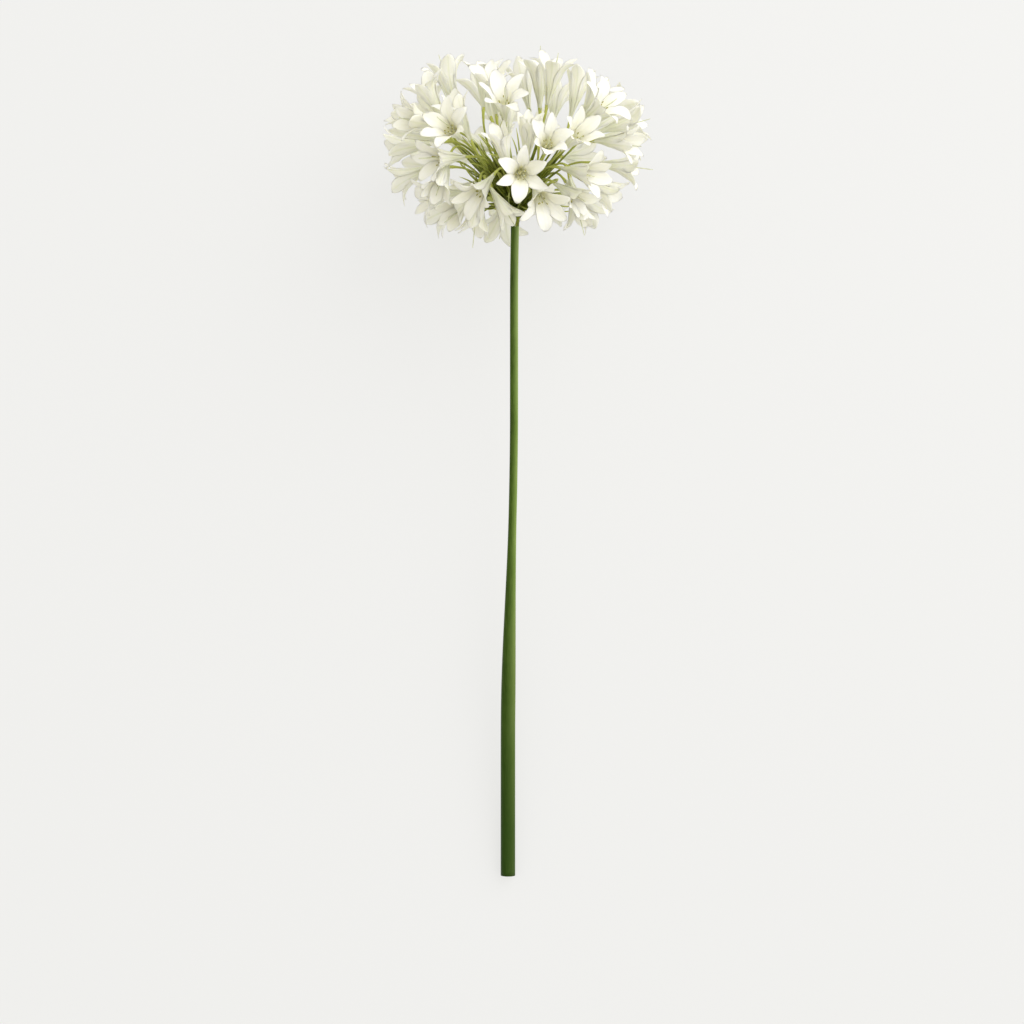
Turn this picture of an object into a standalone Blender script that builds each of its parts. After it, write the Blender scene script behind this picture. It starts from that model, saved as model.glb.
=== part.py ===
"""A white agapanthus flower head, picked with its long scape and laid on a flat surface.

Metres, +Z up. The surface is z = 0, the scape runs along Y and the head is towards +Y. The
side of the head that faces the eye when it grows is turned up, to +Z. The origin is on the
surface, under the middle of the flower's box.
"""

import math
import random

import bmesh
import bpy
import numpy as np
from mathutils import Matrix, Vector

MM = 0.001
GAP = 0.3 * MM  # between pieces that touch
GOLDEN_ANGLE = math.pi * (3 - math.sqrt(5))

# The scape, from the hub, where the stalks meet, down to its cut foot.
HUB = Vector((-1.9 * MM, 203.5 * MM, 77 * MM))
SCAPE_LENGTH = 536 * MM
SCAPE_TOP_RADIUS = 3.25 * MM
SCAPE_FOOT_RADIUS = 5.85 * MM
SCAPE_SWAY = 4.8 * MM
SCAPE_SPANS = 16
TILT = math.asin((HUB.z - SCAPE_FOOT_RADIUS) / SCAPE_LENGTH)

# The receptacle: (distance along the axis from the hub, radius), from its top down.
RECEPTACLE = [(4.0, 0.0), (2.6, 3.6), (0.0, 5.9), (-2.6, 6.9), (-4.0, 7.3), (-5.0, 6.4),
              (-8.5, 4.4), (-13.0, 3.4), (-13.0, 0.0)]
RECEPTACLE_SIDES = 12

# The head: the flowers' mouths lie on an ellipsoid round a point above the hub.
HEAD_CENTRE = 58 * MM
HEAD_RADIUS = 110 * MM
HEAD_ABOVE = 72 * MM
HEAD_BELOW = 92 * MM
HEAD_PRESSED = 0.85  # what is left of the radius on the side that the head lies on
LOWEST = -0.84  # how far round to the scape the flowers go, as a cosine
SEED = 518

# A floret: a tube that parts into six lobes, which bend outwards by a steady curve.
TUBE = [(0.0, 1.3), (8.0, 2.4), (16.0, 4.6)]  # (height, radius) in mm
THROAT = 10.0 * MM
LOBES = 6
LOBE_LENGTH = 29.0 * MM
LOBE_WIDTH = 12.2 * MM
LOBE_START = math.radians(9)
LOBE_OUTLINE = [(0.36, 0.82), (0.72, 1.0), (1.0, 0.4)]  # (share of length, share of width)
LOBE_HOLLOW = 0.24
LOBE_THICKNESS = 1.1 * MM
LOBE_CLEARANCE = 0.92

# A bud: (height, radius) in mm, from its top down.
BUD = [(25.0, 0.0), (23.5, 1.9), (18.0, 3.9), (10.0, 3.1), (0.0, 1.25), (0.0, 0.0)]
BUD_SIDES = 6

STALK_RADIUS = 0.85 * MM
STALK_END_RADIUS = 1.15 * MM
STALK_SPANS = 5
STALK_STRAIGHT = 4 * MM  # the last span, in line with the flower's tube
STALK_UPTURN = 0.45
STALK_ROOT = (2 * MM, 3.5 * MM)  # how far below the hub its root is, and how far out of there
STALK_HANDLES = (0.38, 0.34)  # the arch's handles at its root and end, as shares of its length
STALK_CLEARANCE = 0.7 * MM  # kept to the flowers that a stalk passes
SPOTS_A_SPAN = 6  # where each span is tested against the flowers
# How far a stalk swings aside as it leaves the receptacle, and to which side: each stalk takes
# the first of these swings that passes clear of the flowers.
SWINGS = [(0.0, 0.0)] + [(swing, math.radians(side)) for swing in (0.25, 0.5, 0.8)
                         for side in range(0, 360, 60)]

# Young buds, still small and green, stand low among the stalks: (height, radius) in mm.
YOUNG_BUD = [(0.0, 0.85), (3.0, 1.7), (7.0, 2.1), (10.5, 1.4), (12.5, 0.4)]
YOUNG_BUDS = 20  # the places for them; one that a flower takes up stays empty
YOUNG_REACH = 33 * MM  # from the hub to a young bud's foot, at most
YOUNG_SHORTER = 0.35  # how much less the nearest of them reaches
YOUNG_LOWEST = -0.1  # how far round to the scape they go, as a cosine
YOUNG_SPANS = 4

# Florets whose place is settled by hand: where the mouth is, as shares of the head's radii
# from its centre, and the way it faces, both as (sideways, up the axis, towards the eye), then
# the lobes' opening in degrees, the size and the depth.
CHOSEN = [
    ((0.05, -0.37, 0.93), (0.06, -0.08, 1.0), 62, 1.0, 1.0),
    ((-0.32, -0.60, 0.73), (-0.45, -0.55, 0.70), 44, 1.0, 1.0),
    ((-0.56, -0.54, 0.63), (-0.25, -0.75, 0.6), 24, 0.95, 1.0),
    ((-0.02, -0.78, 0.62), (0.50, -0.80, 0.3), 28, 0.82, 0.88),
    ((-0.13, 0.16, 0.98), (-0.2, 0.9, 0.4), 22, 0.92, 0.88),
    ((0.12, 0.36, 0.93), (0.05, 0.9, 0.4), 20, 0.9, 0.84),
    ((0.48, -0.79, 0.38), (0.25, -0.95, 0.15), 24, 0.95, 1.0),
    ((-0.29, -0.86, 0.42), (-0.1, -0.95, 0.2), 30, 0.95, 1.0),
]
# Places left open, where the green stalks show: the place, as above, and the radius kept clear.
OPEN_PLACES = [((-0.22, -0.13, 0.97), 21 * MM), ((0.31, -0.36, 0.88), 12 * MM)]

FLORETS = 56
BUDS = 2
STRAY = 0.2  # how far a flower's facing strays from the head's outline
TOUCHING = 1.5 * MM  # a flower that is nearer the surface than this rests on it

WHITE = (0.86, 0.87, 0.78, 1.0)
BUD_WHITE = (0.80, 0.83, 0.66, 1.0)
GREEN = (0.16, 0.29, 0.06, 1.0)
SCAPE_GREEN = (0.12, 0.26, 0.06, 1.0)


def smooth(share):
    share = min(max(share, 0.0), 1.0)
    return share * share * (3 - 2 * share)


def umbel_axes():
    """Columns: sideways, along the scape into the head, and towards the eye."""
    along = Vector((0, math.cos(TILT), math.sin(TILT)))
    sideways = Vector((1, 0, 0))
    return Matrix((sideways, along, sideways.cross(along))).transposed()


AXES = umbel_axes()


def material(name, colour, roughness):
    made = bpy.data.materials.new(name)
    made.use_nodes = True
    shader = made.node_tree.nodes["Principled BSDF"]
    shader.inputs["Base Color"].default_value = colour
    shader.inputs["Roughness"].default_value = roughness
    shader.inputs["Metallic"].default_value = 0.0
    return made


def add(name, data, collection, finish):
    made = bpy.data.objects.new(name, data)
    collection.objects.link(made)
    if finish:
        made.data.materials.append(finish)
    return made


def tube_curve(name, points, radii, resolution, collection):
    """A round bar through the points, with closed ends."""
    curve = bpy.data.curves.new(name, "CURVE")
    curve.dimensions = "3D"
    curve.bevel_depth = 1.0
    curve.bevel_resolution = resolution
    curve.use_fill_caps = True
    spline = curve.splines.new("POLY")
    spline.points.add(len(points) - 1)
    for spot, place, radius in zip(spline.points, points, radii):
        spot.co = (*place, 1)
        spot.radius = radius
    return add(name, curve, collection, None)


def as_mesh(curve_object, collection):
    """The curve object's surface as a mesh object, with its caps welded on."""
    graph = bpy.context.evaluated_depsgraph_get()
    mesh = bpy.data.meshes.new_from_object(curve_object.evaluated_get(graph))
    shape = bmesh.new()
    shape.from_mesh(mesh)
    bmesh.ops.remove_doubles(shape, verts=shape.verts, dist=0.00001)
    bmesh.ops.recalc_face_normals(shape, faces=shape.faces)
    shape.to_mesh(mesh)
    shape.free()
    made = add(curve_object.name + "_mesh", mesh, collection, None)
    made.matrix_world = curve_object.matrix_world
    bpy.data.objects.remove(curve_object)
    return made


def turned(name, profile, sides, collection, finish):
    """A turned solid from (height, radius) pairs in mm, given from the top down."""
    mesh = bpy.data.meshes.new(name)
    points = [(radius * MM, 0, height * MM) for height, radius in profile]
    mesh.from_pydata(points, [(i, i + 1) for i in range(len(points) - 1)], [])
    made = add(name, mesh, collection, finish)
    screw = made.modifiers.new("Turn", "SCREW")
    screw.steps = screw.render_steps = sides
    screw.use_merge_vertices = True
    screw.merge_threshold = 0.00001
    return made


def bend(opening, size, share):
    """Radius, height and lean of a lobe's middle line, this share of the way to its tip."""
    length = LOBE_LENGTH * size
    rate = (opening - LOBE_START) / length
    lean = LOBE_START + rate * share * length
    radius = TUBE[-1][1] * MM * size + (math.cos(LOBE_START) - math.cos(lean)) / rate
    height = TUBE[-1][0] * MM * size + (math.sin(lean) - math.sin(LOBE_START)) / rate
    return radius, height, lean


def lobe_station(shape, opening, size, share, width, turn):
    """The left, outer, right and inner vertices across a lobe."""
    radius, height, lean = bend(opening, size, share)
    room = LOBE_CLEARANCE * radius * math.tan(math.pi / LOBES)
    half = min(width * LOBE_WIDTH * size / 2, room)
    inwards = Vector((-math.cos(lean), 0, math.sin(lean)))
    middle = Vector((radius, 0, height))
    spin = Matrix.Rotation(turn, 3, "Z")
    edge = middle + inwards * LOBE_HOLLOW * half
    places = [edge - Vector((0, half, 0)), middle, edge + Vector((0, half, 0)),
              middle + inwards * LOBE_THICKNESS]
    return [shape.verts.new(spin @ place) for place in places]


def floret_mesh(name, opening, size):
    """A floret with its foot at the origin and its tube along +Z."""
    shape = bmesh.new()
    step = 2 * math.pi / LOBES

    def ring(height, radius, turn=0.0):
        return [shape.verts.new((radius * MM * size * math.cos(turn + step * i),
                                 radius * MM * size * math.sin(turn + step * i),
                                 height * MM * size)) for i in range(LOBES)]

    foot = ring(*TUBE[0])
    waist = ring(*TUBE[1])
    outer = ring(*TUBE[2])
    notch = ring(*TUBE[2], turn=step / 2)
    inner = ring(TUBE[2][0] + 0.3, TUBE[2][1] - 1.0)
    throat = shape.verts.new((0, 0, THROAT * size))
    shape.faces.new(foot)
    for i in range(LOBES):
        after = (i + 1) % LOBES
        before = i - 1
        shape.faces.new((foot[i], foot[after], waist[after], waist[i]))
        shape.faces.new((waist[i], waist[after], notch[i]))
        shape.faces.new((waist[i], notch[i], outer[i]))
        shape.faces.new((waist[after], outer[after], notch[i]))
        shape.faces.new((throat, notch[before], inner[i]))
        shape.faces.new((throat, inner[i], notch[i]))
        left, out, right, inside = notch[before], outer[i], notch[i], inner[i]
        for share, width in LOBE_OUTLINE:
            row = lobe_station(shape, opening, size, share, width, step * i)
            shape.faces.new((left, out, row[1], row[0]))
            shape.faces.new((out, right, row[2], row[1]))
            shape.faces.new((inside, left, row[0], row[3]))
            shape.faces.new((right, inside, row[3], row[2]))
            left, out, right, inside = row
        shape.faces.new((left, out, right))
        shape.faces.new((left, right, inside))
    bmesh.ops.recalc_face_normals(shape, faces=shape.faces)
    bmesh.ops.triangulate(shape, faces=shape.faces)
    mesh = bpy.data.meshes.new(name)
    shape.to_mesh(mesh)
    shape.free()
    return mesh


class Flower:
    """One floret or bud: its kind, its opening and size, and its place once it is settled."""

    def __init__(self, opening, size, depth, place=None, facing=None):
        self.opening = math.radians(opening)
        self.size = size
        self.depth = depth
        self.place = place
        self.facing = facing
        if opening:
            self.reach, self.length, _ = bend(self.opening, size, 1.0)
        else:
            self.reach = 6 * MM
            self.length = BUD[0][0] * MM * size

    def radius_at(self, height):
        """Its radius at this height above its foot, lobes and all."""
        profile = TUBE if self.opening else BUD[-2::-1]
        heights = [h * MM * self.size for h, _ in profile]
        radii = [r * MM * self.size for _, r in profile]
        if self.opening:
            for share in (0.5, 1.0):
                radius, top, _ = bend(self.opening, self.size, share)
                radii.append(radius)
                heights.append(top)
        return float(np.interp(height, heights, radii))


def drawn_flowers(draw):
    """The flowers before they have their places: chosen ones, drawn florets, then buds."""
    flowers = [Flower(opening, size, depth, place, facing)
               for place, facing, opening, size, depth in CHOSEN]
    while len(flowers) < FLORETS:
        flowers.append(Flower(draw.triangular(20, 66, 38), draw.uniform(0.92, 1.06),
                              draw.uniform(0.90, 1.0)))
    for _ in range(BUDS):
        flowers.append(Flower(0, draw.uniform(0.8, 1.1), draw.uniform(0.66, 0.86)))
    return flowers


def on_head(directions, depths):
    """Places of mouths in the umbel's axes, from directions round the head's centre."""
    radii = np.empty_like(directions)
    radii[:, 0] = HEAD_RADIUS
    radii[:, 1] = np.where(directions[:, 1] > 0, HEAD_ABOVE, HEAD_BELOW)
    radii[:, 2] = np.where(directions[:, 2] > 0, HEAD_RADIUS, HEAD_RADIUS * HEAD_PRESSED)
    places = directions * radii + (0, HEAD_CENTRE, 0)
    return places * depths[:, None], radii


def spread(flowers, draw):
    """Spreads the flowers evenly round the head, each with room for its mouth."""
    kept = len(CHOSEN)
    count = len(flowers)
    order = list(range(kept, count))
    draw.shuffle(order)
    directions = np.zeros((count + len(OPEN_PLACES), 3))
    for i, number in enumerate(order):
        height = 1 - (1 - LOWEST) * (i + 0.5) / len(order)
        turn = i * GOLDEN_ANGLE
        level = math.sqrt(1 - height * height)
        directions[number] = level * math.cos(turn), height, level * math.sin(turn)
    fixed = list(range(kept)) + list(range(count, len(directions)))
    settled = [flower.place for flower in flowers[:kept]] + [spot for spot, _ in OPEN_PLACES]
    settled = np.array(settled, float)
    settled /= np.linalg.norm(settled, axis=1, keepdims=True)
    directions[fixed] = settled
    reach = np.array([flower.reach for flower in flowers] + [r for _, r in OPEN_PLACES])
    depths = np.array([flower.depth for flower in flowers] + [1.0] * len(OPEN_PLACES))
    room = reach[:, None] + reach[None, :]
    for _ in range(300):
        places, radii = on_head(directions, depths)
        apart = places[:, None] - places[None, :]
        distance = np.linalg.norm(apart, axis=2) + np.eye(len(places))
        push = np.clip(room - distance, 0, None) / distance
        np.fill_diagonal(push, 0)
        places += 0.2 * (push[:, :, None] * apart).sum(axis=1)
        directions = (places / depths[:, None] - (0, HEAD_CENTRE, 0)) / radii
        directions /= np.linalg.norm(directions, axis=1, keepdims=True)
        directions[:, 1] = np.maximum(directions[:, 1], LOWEST)
        directions /= np.linalg.norm(directions, axis=1, keepdims=True)
        directions[fixed] = settled
    places, radii = on_head(directions, depths)
    normals = directions / radii
    normals /= np.linalg.norm(normals, axis=1, keepdims=True)
    return places[:count], normals[:count]


def settle_flowers():
    """The flowers with their foot, facing and roll, in the part's own axes."""
    draw = random.Random(SEED)
    flowers = drawn_flowers(draw)
    places, normals = spread(flowers, draw)
    for flower, mouth, normal in zip(flowers, places, normals):
        outwards = Vector(mouth).normalized()
        stray = STRAY * Vector([draw.uniform(-1, 1) for _ in range(3)])
        facing = Vector(flower.facing or 0.6 * Vector(normal) + 0.4 * outwards + stray)
        flower.facing = (AXES @ facing).normalized()
        flower.foot = HUB + AXES @ Vector(mouth) - flower.facing * flower.length
        flower.roll = draw.uniform(0, 2 * math.pi / LOBES)
    return flowers


def turn_of(flower):
    """Turns a piece made along +Z to the flower's facing and roll."""
    aim = flower.facing.to_track_quat("Z", "Y").to_matrix()
    return (aim @ Matrix.Rotation(flower.roll, 3, "Z")).to_4x4()


def add_flower(flower, name, collection, finish, bud_finish):
    if flower.opening:
        made = add(name, floret_mesh(name, flower.opening, flower.size), collection, finish)
    else:
        made = turned(name, [(z * flower.size, r * flower.size) for z, r in BUD], BUD_SIDES,
                      collection, bud_finish)
    made.matrix_world = Matrix.Translation(flower.foot) @ turn_of(flower)
    return made


def rest_on_surface(flower, made):
    """Lifts a flower that would sink into the surface, and lets a near one down on to it."""
    bpy.context.view_layer.update()
    graph = bpy.context.evaluated_depsgraph_get()
    mesh = made.evaluated_get(graph).to_mesh()
    lowest = min((made.matrix_world @ spot.co).z for spot in mesh.vertices)
    if lowest < TOUCHING:
        flower.foot.z -= lowest
        made.matrix_world = Matrix.Translation(flower.foot) @ turn_of(flower)


def arch(end, facing, spans, swing=0.0, side=0.0):
    """Points of an arched stalk, from inside the receptacle to an end that faces that way."""
    along = AXES.col[1]
    outwards = (end - HUB).normalized()
    aside = Matrix.Rotation(side, 3, outwards) @ outwards.orthogonal().normalized()
    start_way = outwards + along * STALK_UPTURN * (1 - outwards.dot(along)) + aside * swing
    start_way.normalize()
    start = HUB - along * STALK_ROOT[0] + start_way * STALK_ROOT[1]
    first_handle, last_handle = (share * (end - start).length for share in STALK_HANDLES)
    handles = [start, start + start_way * first_handle, end - facing * last_handle, end]
    points = []
    for i in range(spans):
        t = i / (spans - 1)
        shares = ((1 - t) ** 3, 3 * t * (1 - t) ** 2, 3 * t * t * (1 - t), t ** 3)
        points.append(sum((share * spot for share, spot in zip(shares, handles)), Vector()))
    return points


def blocked(points, flowers, radius):
    """How far the line through the points runs inside the flowers, in all."""
    spots = []
    for first, second in zip(points, points[1:]):
        spots += [first.lerp(second, i / SPOTS_A_SPAN) for i in range(SPOTS_A_SPAN)]
    total = 0.0
    for flower in flowers:
        for spot in spots:
            height = (spot - flower.foot).dot(flower.facing)
            if -radius < height < flower.length:
                away = (spot - flower.foot - flower.facing * height).length
                total += max(flower.radius_at(height) + radius + STALK_CLEARANCE - away, 0)
    return total


def stalk_points(flower, flowers):
    """A stalk's line to just short of the flower's foot, clear of the other flowers."""
    last = flower.foot - flower.facing * GAP
    end = last - flower.facing * STALK_STRAIGHT
    others = [other for other in flowers if other is not flower]
    best = None
    for swing, side in SWINGS:
        points = arch(end, flower.facing, STALK_SPANS, swing, side)
        depth = blocked(points, others, STALK_RADIUS)
        if best is None or depth < best[0]:
            best = depth, points
        if depth == 0:
            break
    return best[1] + [last]


def young_bud(number):
    """Foot and facing of a young bud: they go round the umbel by the golden angle."""
    height = 1 - (1 - YOUNG_LOWEST) * (number + 0.5) / YOUNG_BUDS
    turn = number * GOLDEN_ANGLE
    level = math.sqrt(1 - height * height)
    facing = AXES @ Vector((level * math.cos(turn), height, level * math.sin(turn)))
    reach = YOUNG_REACH * (1 - YOUNG_SHORTER * (number * GOLDEN_ANGLE % 1))
    return HUB + facing * reach, facing


def add_stalks(flowers, collection, helpers, finish):
    """The receptacle, every stalk and the young buds on theirs, joined in one green solid."""
    umbel = turned("umbel_stalks", RECEPTACLE, RECEPTACLE_SIDES, collection, finish)
    to_umbel = AXES.to_4x4() @ Matrix.Rotation(-math.pi / 2, 4, "X")
    umbel.matrix_world = Matrix.Translation(HUB) @ to_umbel
    for number, flower in enumerate(flowers):
        radii = [STALK_RADIUS] * STALK_SPANS + [STALK_END_RADIUS]
        line = stalk_points(flower, flowers)
        as_mesh(tube_curve(f"stalk_{number}", line, radii, 0, helpers), helpers)
    for number in range(YOUNG_BUDS):
        foot, facing = young_bud(number)
        points = arch(foot, facing, YOUNG_SPANS)
        points += [foot + facing * height * MM for height, _ in YOUNG_BUD[1:]]
        if blocked(points, flowers, YOUNG_BUD[2][1] * MM):
            continue
        radii = [STALK_RADIUS] * (YOUNG_SPANS - 1) + [radius * MM for _, radius in YOUNG_BUD]
        as_mesh(tube_curve(f"young_{number}", points, radii, 1, helpers), helpers)
    join = umbel.modifiers.new("Join", "BOOLEAN")
    join.operation = "UNION"
    join.operand_type = "COLLECTION"
    join.collection = helpers
    join.solver = "EXACT"
    bpy.context.view_layer.update()
    graph = bpy.context.evaluated_depsgraph_get()
    joined = bpy.data.meshes.new_from_object(umbel.evaluated_get(graph))
    umbel.modifiers.clear()
    umbel.data = joined
    for helper in list(helpers.objects):
        bpy.data.objects.remove(helper)


def scape_point(share):
    """The scape's middle line, this share of the way from the hub to the cut foot."""
    sway = -0.8 * MM - SCAPE_SWAY * smooth((share - 0.3) / 0.5)
    return HUB + AXES @ Vector((sway * smooth(share * 8), -share * SCAPE_LENGTH, 0))


def add_scape(collection, finish):
    top = (13.0 * MM + GAP) / SCAPE_LENGTH
    shares = [top + (1 - top) * i / SCAPE_SPANS for i in range(SCAPE_SPANS + 1)]
    swell = SCAPE_FOOT_RADIUS - SCAPE_TOP_RADIUS
    radii = [SCAPE_TOP_RADIUS + swell * smooth((share - 0.45) / 0.3) for share in shares]
    points = [scape_point(share) for share in shares]
    curve = tube_curve("scape", points, radii, 4, collection)
    curve.data.materials.append(finish)


def build():
    for leftover in list(bpy.data.objects):
        bpy.data.objects.remove(leftover)
    head = bpy.data.collections.new("agapanthus_flower_head")
    helpers = bpy.data.collections.new("helpers")
    helpers.hide_render = True
    for group in (head, helpers):
        bpy.context.scene.collection.children.link(group)
    white = material("petal_white", WHITE, 0.45)
    bud_white = material("bud_white", BUD_WHITE, 0.45)
    green = material("stalk_green", GREEN, 0.5)
    scape_green = material("scape_green", SCAPE_GREEN, 0.45)
    flowers = settle_flowers()
    add_scape(head, scape_green)
    for number, flower in enumerate(flowers, 1):
        kind = "floret" if flower.opening else "bud"
        number = number if flower.opening else number - FLORETS
        made = add_flower(flower, f"{kind}_{number:02d}", head, white, bud_white)
        rest_on_surface(flower, made)
    add_stalks(flowers, head, helpers, green)


build()
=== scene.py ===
"""A white agapanthus head, picked with its long scape and laid on a pale surface.

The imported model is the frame: metres, +Z up, the scape along Y and the head towards +Y. The
place, facing, size and opening of each flower are read from its own solid there.
"""

import math
import random

import bpy
import numpy as np
from mathutils import Matrix, Vector


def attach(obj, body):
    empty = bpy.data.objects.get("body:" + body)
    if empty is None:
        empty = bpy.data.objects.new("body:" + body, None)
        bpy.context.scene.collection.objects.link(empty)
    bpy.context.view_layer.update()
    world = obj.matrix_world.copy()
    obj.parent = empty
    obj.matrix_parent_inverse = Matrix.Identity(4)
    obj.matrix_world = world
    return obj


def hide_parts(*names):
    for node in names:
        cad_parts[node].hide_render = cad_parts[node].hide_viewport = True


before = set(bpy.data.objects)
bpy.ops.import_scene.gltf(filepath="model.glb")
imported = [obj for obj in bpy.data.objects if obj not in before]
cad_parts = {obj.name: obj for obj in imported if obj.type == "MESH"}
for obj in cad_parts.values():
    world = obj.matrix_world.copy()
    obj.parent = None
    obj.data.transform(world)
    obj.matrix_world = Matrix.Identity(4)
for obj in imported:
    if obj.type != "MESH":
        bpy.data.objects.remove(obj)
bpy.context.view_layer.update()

# The scape. It is the flower's own stem, one round leafless stalk of firm green tissue with fine
# ribs along it, thin under the head and thick at the foot, where it was cut clean across.
MM = 0.001
HUB = Vector((-1.9, 203.5, 77)) * MM  # where the flowers' stalks meet
SCAPE_LENGTH = 536 * MM  # from the hub to the cut foot
SCAPE_START = 13.3 * MM  # from the hub to its top
SCAPE_TOP_RADIUS = 3.25 * MM
SCAPE_FOOT_RADIUS = 5.85 * MM
SCAPE_THICKENS = (0.45, 0.75)  # between these shares of its length
SCAPE_ASIDE = 0.8 * MM  # it comes out this far left of the hub
SCAPE_COMES_OUT = (0.0, 0.125)
SCAPE_SWAY = 4.8 * MM  # further left at its foot
SCAPE_SWAYS = (0.3, 0.8)
SCAPE_RINGS = 140
SCAPE_SIDES = 36
SCAPE_RIBS = 9
SCAPE_RIB_DEPTH = 0.012
SCAPE_RIB_TWIST = 3.0
CUT_SUNK = 0.5 * MM
PAINTED_LIGHT_TURN = -0.35  # where round the stem its painted lit side is, from the right

TILT = math.asin((HUB.z - SCAPE_FOOT_RADIUS) / SCAPE_LENGTH)
ALONG = Vector((0, math.cos(TILT), math.sin(TILT)))
SIDEWAYS = Vector((1, 0, 0))
TO_EYE = SIDEWAYS.cross(ALONG)


def umbel_place(sideways, along, to_eye):
    """A place given from the hub, in the umbel's own directions."""
    return HUB + SIDEWAYS * sideways + ALONG * along + TO_EYE * to_eye


def smooth(share):
    share = min(max(share, 0.0), 1.0)
    return share * share * (3 - 2 * share)


def smooth_between(share, stretch):
    """Goes from 0 to 1 as share goes through the stretch."""
    first, last = stretch
    return smooth((share - first) / (last - first))


def scape_point(share):
    sway = -SCAPE_ASIDE - SCAPE_SWAY * smooth_between(share, SCAPE_SWAYS)
    return umbel_place(sway * smooth_between(share, SCAPE_COMES_OUT), -share * SCAPE_LENGTH, 0)


def scape_radius(share):
    growth = SCAPE_FOOT_RADIUS - SCAPE_TOP_RADIUS
    return SCAPE_TOP_RADIUS + growth * smooth_between(share, SCAPE_THICKENS)


def mesh_piece(name, points, faces, numbers=None):
    """A smooth mesh object, with the given numbers at its points as attributes."""
    mesh = bpy.data.meshes.new(name)
    mesh.from_pydata([tuple(point) for point in points], [], faces)
    for key, values in (numbers or {}).items():
        values = np.array(values, np.float32)
        kind, field = ("FLOAT_VECTOR", "vector") if values.ndim == 2 else ("FLOAT", "value")
        mesh.attributes.new(key, kind, "POINT").data.foreach_set(field, values.ravel())
    mesh.shade_smooth()
    piece = bpy.data.objects.new(name, mesh)
    bpy.context.scene.collection.objects.link(piece)
    return piece


def ring_faces(rings, sides):
    """The quads between rings of points, their fronts outwards when the rings run up +Z."""
    return [(ring * sides + i, ring * sides + (i + 1) % sides,
             (ring + 1) * sides + (i + 1) % sides, (ring + 1) * sides + i)
            for ring in range(rings - 1) for i in range(sides)]


def end_caps(corners, sides):
    """The two faces that shut the first and the last ring."""
    return [tuple(reversed(range(sides))), tuple(range(corners - sides, corners))]


def ways_out(sides):
    """Each side's angle round the stem, from the right, and its way out."""
    turns = [-2 * math.pi * i / sides for i in range(sides)]
    return [(turn, SIDEWAYS * math.cos(turn) + TO_EYE * math.sin(turn)) for turn in turns]


def make_scape():
    points, from_hub, turned, cut = [], [], [], []
    first = SCAPE_START / SCAPE_LENGTH
    shares = [first + (1 - first) * i / SCAPE_RINGS for i in range(SCAPE_RINGS, -1, -1)]
    # The cut end first: its sunk middle, then its rim, then the stem's side up to the receptacle.
    rows = [(1.0, 0.02, CUT_SUNK), (1.0, 0.5, CUT_SUNK), (1.0, 0.84, 0.6 * CUT_SUNK),
            (1.0, 0.95, 0.1 * CUT_SUNK)]
    rows += [(share, 1.0, 0.0) for share in shares]
    for share, width, sunk in rows:
        middle = scape_point(share) + ALONG * sunk
        radius = scape_radius(share) * width
        for turn, out in ways_out(SCAPE_SIDES):
            rib = 1 + SCAPE_RIB_DEPTH * math.cos(SCAPE_RIBS * turn + SCAPE_RIB_TWIST * share)
            points.append(middle + out * radius * rib)
            from_hub.append(share)
            # turned: how near each point is to the side that is painted as lit in the stem's colour
            turned.append(0.5 + 0.5 * math.cos(turn - PAINTED_LIGHT_TURN))
            cut.append(1.0 - smooth_between(width, (0.9, 1.0)))
    faces = ring_faces(len(rows), SCAPE_SIDES) + end_caps(len(points), SCAPE_SIDES)
    return mesh_piece("flower_stem", points, faces,
                      {"from_hub": from_hub, "turned": turned, "cut": cut})


class Field:
    """A number in a node tree that varies over a piece: sums on it add Math nodes to the tree."""

    def __init__(self, socket):
        self.socket = socket

    def math(self, operation, *others):
        tree = self.socket.id_data
        node = tree.nodes.new("ShaderNodeMath")
        node.operation = operation
        for place, value in zip(node.inputs, (self, *others)):
            if isinstance(value, Field):
                tree.links.new(value.socket, place)
            else:
                place.default_value = value
        return Field(node.outputs[0])

    def __add__(self, other):
        return self.math("ADD", other)

    def __sub__(self, other):
        return self.math("SUBTRACT", other)

    def __mul__(self, other):
        return self.math("MULTIPLY", other)

    def __truediv__(self, other):
        return self.math("DIVIDE", other)

    def __pow__(self, other):
        return self.math("POWER", other)

    def limited(self):
        """Held between 0 and 1."""
        return self.math("MAXIMUM", 0.0).math("MINIMUM", 1.0)


def shader_attribute(tree, name):
    node = tree.nodes.new("ShaderNodeAttribute")
    node.attribute_name = name
    return Field(node.outputs["Fac"])


def mixed(tree, share, first, second):
    """Colour that goes from the first to the second as share, a Field, goes from 0 to 1."""
    node = tree.nodes.new("ShaderNodeMix")
    node.data_type = "RGBA"
    tree.links.new(share.socket, node.inputs["Factor"])
    colour_a, colour_b, result = node.inputs[6], node.inputs[7], node.outputs[2]
    for place, colour in ((colour_a, first), (colour_b, second)):
        if isinstance(colour, bpy.types.NodeSocket):
            tree.links.new(colour, place)
        else:
            place.default_value = (*colour, 1)
    return result


def fibre_group():
    """Long fine fibres: noise that the caller's vector has stretched, as a mask from 0 to 1."""
    group = bpy.data.node_groups.new("fibres", "ShaderNodeTree")
    group.interface.new_socket("Vector", in_out="INPUT", socket_type="NodeSocketVector")
    group.interface.new_socket("Contrast", in_out="INPUT", socket_type="NodeSocketFloat")
    group.interface.new_socket("Mask", in_out="OUTPUT", socket_type="NodeSocketFloat")
    inputs = group.nodes.new("NodeGroupInput")
    outputs = group.nodes.new("NodeGroupOutput")
    noise = group.nodes.new("ShaderNodeTexNoise")
    noise.inputs["Scale"].default_value = 1.0
    noise.inputs["Detail"].default_value = 3.0
    group.links.new(inputs.outputs["Vector"], noise.inputs["Vector"])
    contrast = Field(inputs.outputs["Contrast"])
    mask = ((Field(noise.outputs["Fac"]) - 0.5) * contrast + 0.5).limited()
    group.links.new(mask.socket, outputs.inputs["Mask"])
    return group


FIBRES = fibre_group()


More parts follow.
